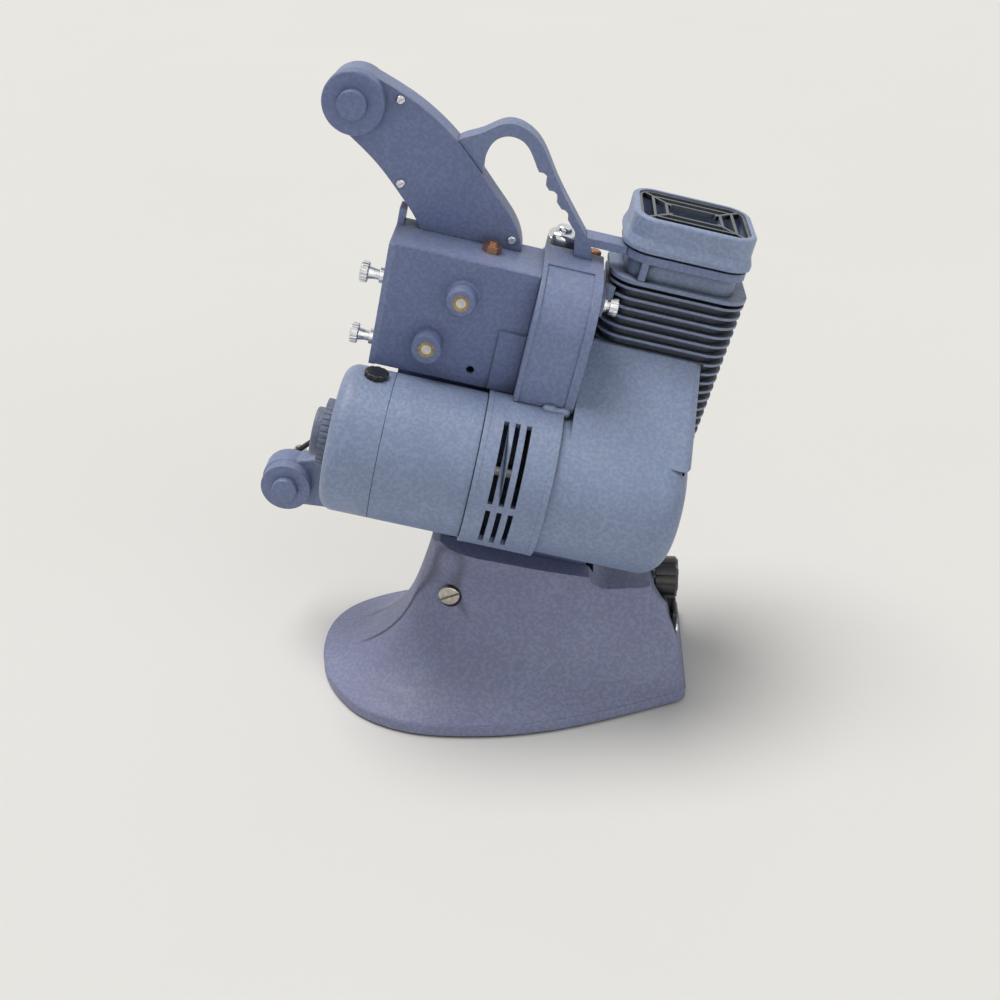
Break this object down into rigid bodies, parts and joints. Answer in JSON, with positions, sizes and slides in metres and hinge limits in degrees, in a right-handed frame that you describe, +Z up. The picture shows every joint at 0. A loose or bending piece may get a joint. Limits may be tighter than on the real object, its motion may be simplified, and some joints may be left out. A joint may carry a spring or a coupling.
{
  "type": "movie projector",
  "caption": "Tilting eight-millimetre movie projector: finned lamphouse, motor with slotted vent band, reel arms, film gears and a flared cast base.",
  "frame": {"origin": "middle of the base's underside", "axes": "+Z up, lens towards -X, drive side towards -Y, film side towards +Y"},
  "size_m": [0.25, 0.1395, 0.3108],
  "materials": {
    "amber": "amber",
    "black_paint": "black enamel",
    "black_plastic": "gloss",
    "brass": "turned",
    "ceramic": "ceramic",
    "chrome": "polished",
    "copper": "coppered",
    "core_steel": "laminations",
    "felt": "felt",
    "glass": "clear",
    "grey_paint": "hammertone enamel",
    "motor_paint": "wrinkle enamel",
    "rubber": "rubber",
    "steel": "satin"
  },
  "bodies": {
    "base": {"base_casting": "grey_paint", "base_pad": "felt", "base_bottom_plate": "steel", "tilt_pivot_screw": "steel", "power_inlet": "black_plastic", "inlet_screws": "chrome", "motor_switch": "steel"},
    "tilt_control": {"tilt_knob": "black_plastic", "tilt_rod": "steel"},
    "switch_toggle": {"switch_lever": "chrome"},
    "speed_control": {"speed_knob": "black_plastic"},
    "head": {"main_casting": "grey_paint", "mechanism_cover": "grey_paint", "shaft_bearings": "brass", "front_plate": "grey_paint", "arm_nut": "copper", "upper_arm_housing": "grey_paint", "upper_arm_cover": "grey_paint", "arm_cover_screws": "chrome", "lower_arm": "grey_paint", "takeup_belt": "rubber", "carrying_handle": "grey_paint", "lamphouse": "motor_paint", "projection_lamp": "glass", "lamp_socket": "ceramic", "condenser_tube": "steel", "condenser_lenses": "glass", "blower_housing": "grey_paint", "vent_band": "grey_paint", "motor_housing": "motor_paint", "motor_end_bell": "motor_paint", "brush_caps": "black_plastic", "motor_stator": "core_steel", "drive_belt": "rubber", "film_gate": "black_paint", "lens_holder": "black_paint", "pilot_lamp": "motor_paint", "clamp_knob": "amber"},
    "cap": {"lamphouse_cap": "motor_paint", "lamphouse_grille": "black_paint"},
    "upper_screw": {"upper_thumb_screw": "chrome"},
    "lower_screw": {"lower_thumb_screw": "chrome"},
    "house_screw": {"lamphouse_thumb_screw": "chrome"},
    "motor": {"motor_shaft": "steel", "blower_fan": "steel", "hand_wheel": "black_paint"},
    "counter": {"countershaft": "steel"},
    "shutter": {"shutter": "black_paint", "shutter_shaft": "steel"},
    "upper_gear": {"upper_gear_shaft": "steel"},
    "middle_gear": {"middle_gear_shaft": "steel"},
    "lower_gear": {"lower_gear_shaft": "steel"},
    "supply": {"supply_spindle": "steel"},
    "takeup": {"takeup_spindle": "steel"},
    "lens": {"lens_barrel": "chrome", "lens_glass": "glass"},
    "gate_spring_side": {"pressure_gate": "steel"},
    "claw": {"claw": "steel"},
    "upper_guard": {"upper_film_guard": "chrome"},
    "lower_guard": {"lower_film_guard": "chrome"}
  },
  "joints": [
    {"name": "head_tilt", "type": "hinge", "parent": "base", "child": "head", "pos_m": [-0.026, 0, 0.055], "axis": [0, 1, 0], "range_deg": [-12, 5]},
    {"name": "tilt_knob_turn", "type": "hinge", "parent": "base", "child": "tilt_control", "pos_m": [0.082, 0, 0.052], "axis": [1, 0, 0], "range_deg": [-180, 180]},
    {"name": "motor_switch_toggle", "type": "hinge", "parent": "base", "child": "switch_toggle", "pos_m": [0.006, 0.0352, 0.046], "axis": [1, 0, 0], "range_deg": [-20, 20]},
    {"name": "speed_knob_turn", "type": "hinge", "parent": "base", "child": "speed_control", "pos_m": [0.034, 0.03, 0.046], "axis": [0, 1, 0], "range_deg": [-135, 135]},
    {"name": "cap_lift", "type": "slide", "parent": "head", "child": "cap", "axis": [0.2079, 0, 0.9781], "range_m": [0, 0.03]},
    {"name": "upper_thumb_screw_turn", "type": "hinge", "parent": "head", "child": "upper_screw", "pos_m": [-0.06212, -0.004, 0.22175], "axis": [0.9781, 0, -0.2079], "range_deg": [-180, 180]},
    {"name": "lower_thumb_screw_turn", "type": "hinge", "parent": "head", "child": "lower_screw", "pos_m": [-0.06875, -0.004, 0.19055], "axis": [0.9781, 0, -0.2079], "range_deg": [-180, 180]},
    {"name": "lamphouse_screw_turn", "type": "hinge", "parent": "head", "child": "house_screw", "pos_m": [0.04722, 0, 0.2071], "axis": [0.9781, 0, -0.2079], "range_deg": [-180, 180]},
    {"name": "motor_spin", "type": "hinge", "parent": "head", "child": "motor", "pos_m": [-0.06816, -0.028, 0.14524], "axis": [0.9781, 0, -0.2079], "continuous": true},
    {"name": "countershaft_spin", "type": "hinge", "parent": "head", "child": "counter", "pos_m": [0.02392, 0.008, 0.19365], "axis": [0.9781, 0, -0.2079], "continuous": true},
    {"name": "shutter_spin", "type": "hinge", "parent": "head", "child": "shutter", "pos_m": [0.0028, 0.02, 0.19047], "axis": [0.9781, 0, -0.2079], "continuous": true},
    {"name": "upper_sprocket_spin", "type": "hinge", "parent": "head", "child": "upper_gear", "pos_m": [-0.01841, 0, 0.2143], "axis": [0, 1, 0], "continuous": true},
    {"name": "middle_gear_spin", "type": "hinge", "parent": "head", "child": "middle_gear", "pos_m": [-0.03517, 0, 0.19077], "axis": [0, 1, 0], "continuous": true},
    {"name": "lower_sprocket_spin", "type": "hinge", "parent": "head", "child": "lower_gear", "pos_m": [-0.01481, 0.02, 0.17019], "axis": [0, 1, 0], "continuous": true},
    {"name": "supply_spindle_spin", "type": "hinge", "parent": "head", "child": "supply", "pos_m": [-0.06844, 0.03, 0.2964], "axis": [0, 1, 0], "continuous": true},
    {"name": "takeup_spindle_spin", "type": "hinge", "parent": "head", "child": "takeup", "pos_m": [-0.11672, 0.03, 0.09473], "axis": [0, 1, 0], "continuous": true},
    {"name": "lens_focus", "type": "slide", "parent": "head", "child": "lens", "axis": [0.9781, 0, -0.2079], "range_m": [-0.003, 0.0025]},
    {"name": "pressure_gate_slide", "type": "slide", "parent": "head", "child": "gate_spring_side", "axis": [0.9781, 0, -0.2079], "range_m": [-0.002, 0], "stiffness_N_per_m": 100},
    {"name": "claw_slide", "type": "slide", "parent": "head", "child": "claw", "axis": [0.2079, 0, 0.9781], "range_m": [0, 0.0038]},
    {"name": "upper_guard_swing", "type": "hinge", "parent": "head", "child": "upper_guard", "pos_m": [-0.03018, 0.037, 0.21885], "axis": [0, 1, 0], "range_deg": [-60, 0]},
    {"name": "lower_guard_swing", "type": "hinge", "parent": "head", "child": "lower_guard", "pos_m": [-0.00421, 0.037, 0.16354], "axis": [0, 1, 0], "range_deg": [-50, 0]}
  ],
  "couplings": [
    {"joint": "countershaft_spin", "follows": "motor_spin", "ratio": 0.37037},
    {"joint": "shutter_spin", "follows": "motor_spin", "ratio": -0.37037},
    {"joint": "middle_gear_spin", "follows": "motor_spin", "ratio": 0.023148},
    {"joint": "upper_sprocket_spin", "follows": "motor_spin", "ratio": -0.023148},
    {"joint": "lower_sprocket_spin", "follows": "motor_spin", "ratio": -0.023148}
  ]
}
